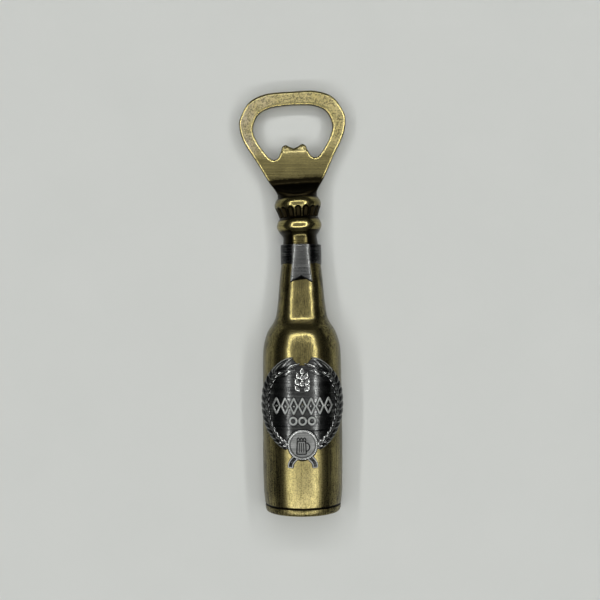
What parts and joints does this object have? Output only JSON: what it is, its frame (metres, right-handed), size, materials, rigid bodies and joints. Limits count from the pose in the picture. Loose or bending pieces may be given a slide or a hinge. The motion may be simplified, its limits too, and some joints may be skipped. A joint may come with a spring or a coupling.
{
  "type": "bottle opener",
  "caption": "Bottle-shaped opener with a flat back, a ring head with two teeth, a fluted cap collar, a neck ribbon and an oval wreath badge.",
  "frame": {"origin": "middle of the flat back on the bottle's centre line, halfway along the opener", "axes": "+X across the bottle, +Y from the bottle's base to the opener head, +Z out of the decorated front"},
  "size_m": [0.0382, 0.1502, 0.018],
  "materials": {
    "antique_brass": "antique brass plating, rubbed bright on the high places and dark in the hollows",
    "brushed_brass_plate": "brass plating brushed crosswise, satin",
    "antique_silver": "antique silver plating, dark in the relief and bright on its edges",
    "steel_fixings": "plain zinc-plated steel",
    "ferrite": "sintered ferrite magnet, dark grey"
  },
  "bodies": {
    "root": {"bottle_body": "antique_brass", "base_disc": "antique_brass", "opener_head": "brushed_brass_plate", "neck_ferrule": "antique_brass", "crown_cap": "antique_brass", "tang_rivet_upper": "steel_fixings", "tang_rivet_lower": "steel_fixings", "neck_ribbon": "antique_silver", "emblem_badge": "antique_silver", "back_plate": "antique_brass", "plate_screw_upper": "steel_fixings", "plate_screw_lower": "steel_fixings", "magnet_upper": "ferrite", "magnet_lower": "ferrite"}
  },
  "joints": []
}
